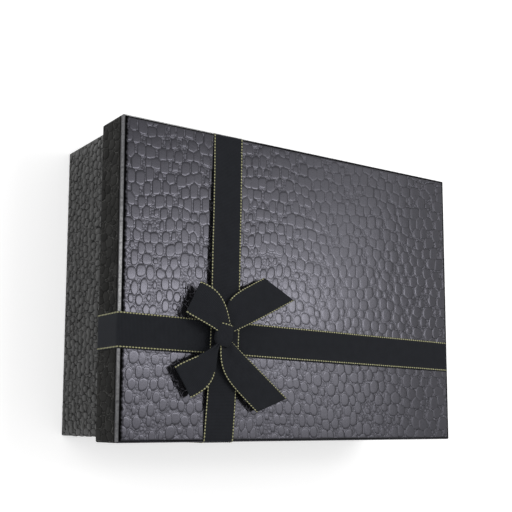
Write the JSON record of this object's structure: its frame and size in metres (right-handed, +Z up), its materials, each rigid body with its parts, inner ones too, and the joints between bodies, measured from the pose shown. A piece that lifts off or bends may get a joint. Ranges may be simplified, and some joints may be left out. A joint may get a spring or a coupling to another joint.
{
  "type": "gift box",
  "caption": "Rigid gift box with a lift-off lid, wrapped in crocodile-embossed paper, with gold-edged black ribbon crossing the lid off centre and tied in a flat bow.",
  "frame": {"origin": "middle of the underside of the base, on the surface the box stands on", "axes": "+Z up through the lid, +X along the length, with the bow on the -X half and the -Y half"},
  "size_m": [0.251, 0.1808, 0.0902],
  "materials": {
    "greyboard": "matte",
    "stay_tape": "matte",
    "croc_paper": "satin",
    "plain_paper": "matte",
    "ribbon_cloth": "satin",
    "gold_thread": "gloss",
    "adhesive": "satin"
  },
  "bodies": {
    "base": {"base_floor_board": "greyboard", "base_front_board": "greyboard", "base_back_board": "greyboard", "base_left_board": "greyboard", "base_right_board": "greyboard", "base_corner_stays": "stay_tape", "base_wrap": "croc_paper", "base_bottom_sheet": "plain_paper", "base_floor_liner": "plain_paper", "base_wall_liner": "plain_paper"},
    "lid": {"lid_top_board": "greyboard", "lid_front_skirt_board": "greyboard", "lid_back_skirt_board": "greyboard", "lid_left_skirt_board": "greyboard", "lid_right_skirt_board": "greyboard", "lid_corner_stays": "stay_tape", "ribbon_end_tapes": "stay_tape", "lid_wrap": "croc_paper", "lid_liner": "plain_paper", "long_ribbon": "ribbon_cloth", "cross_ribbon": "ribbon_cloth", "bow_loops": "ribbon_cloth", "bow_tails": "ribbon_cloth", "bow_knot": "ribbon_cloth", "long_ribbon_gold_edges": "gold_thread", "cross_ribbon_gold_edges": "gold_thread", "bow_loop_gold_edges": "gold_thread", "bow_tail_gold_edges": "gold_thread", "bow_knot_gold_edges": "gold_thread", "bow_glue_dot": "adhesive"}
  },
  "joints": [
    {"name": "lid_lift", "type": "slide", "parent": "base", "child": "lid", "axis": [0, 0, 1], "range_m": [0, 0.08]}
  ]
}
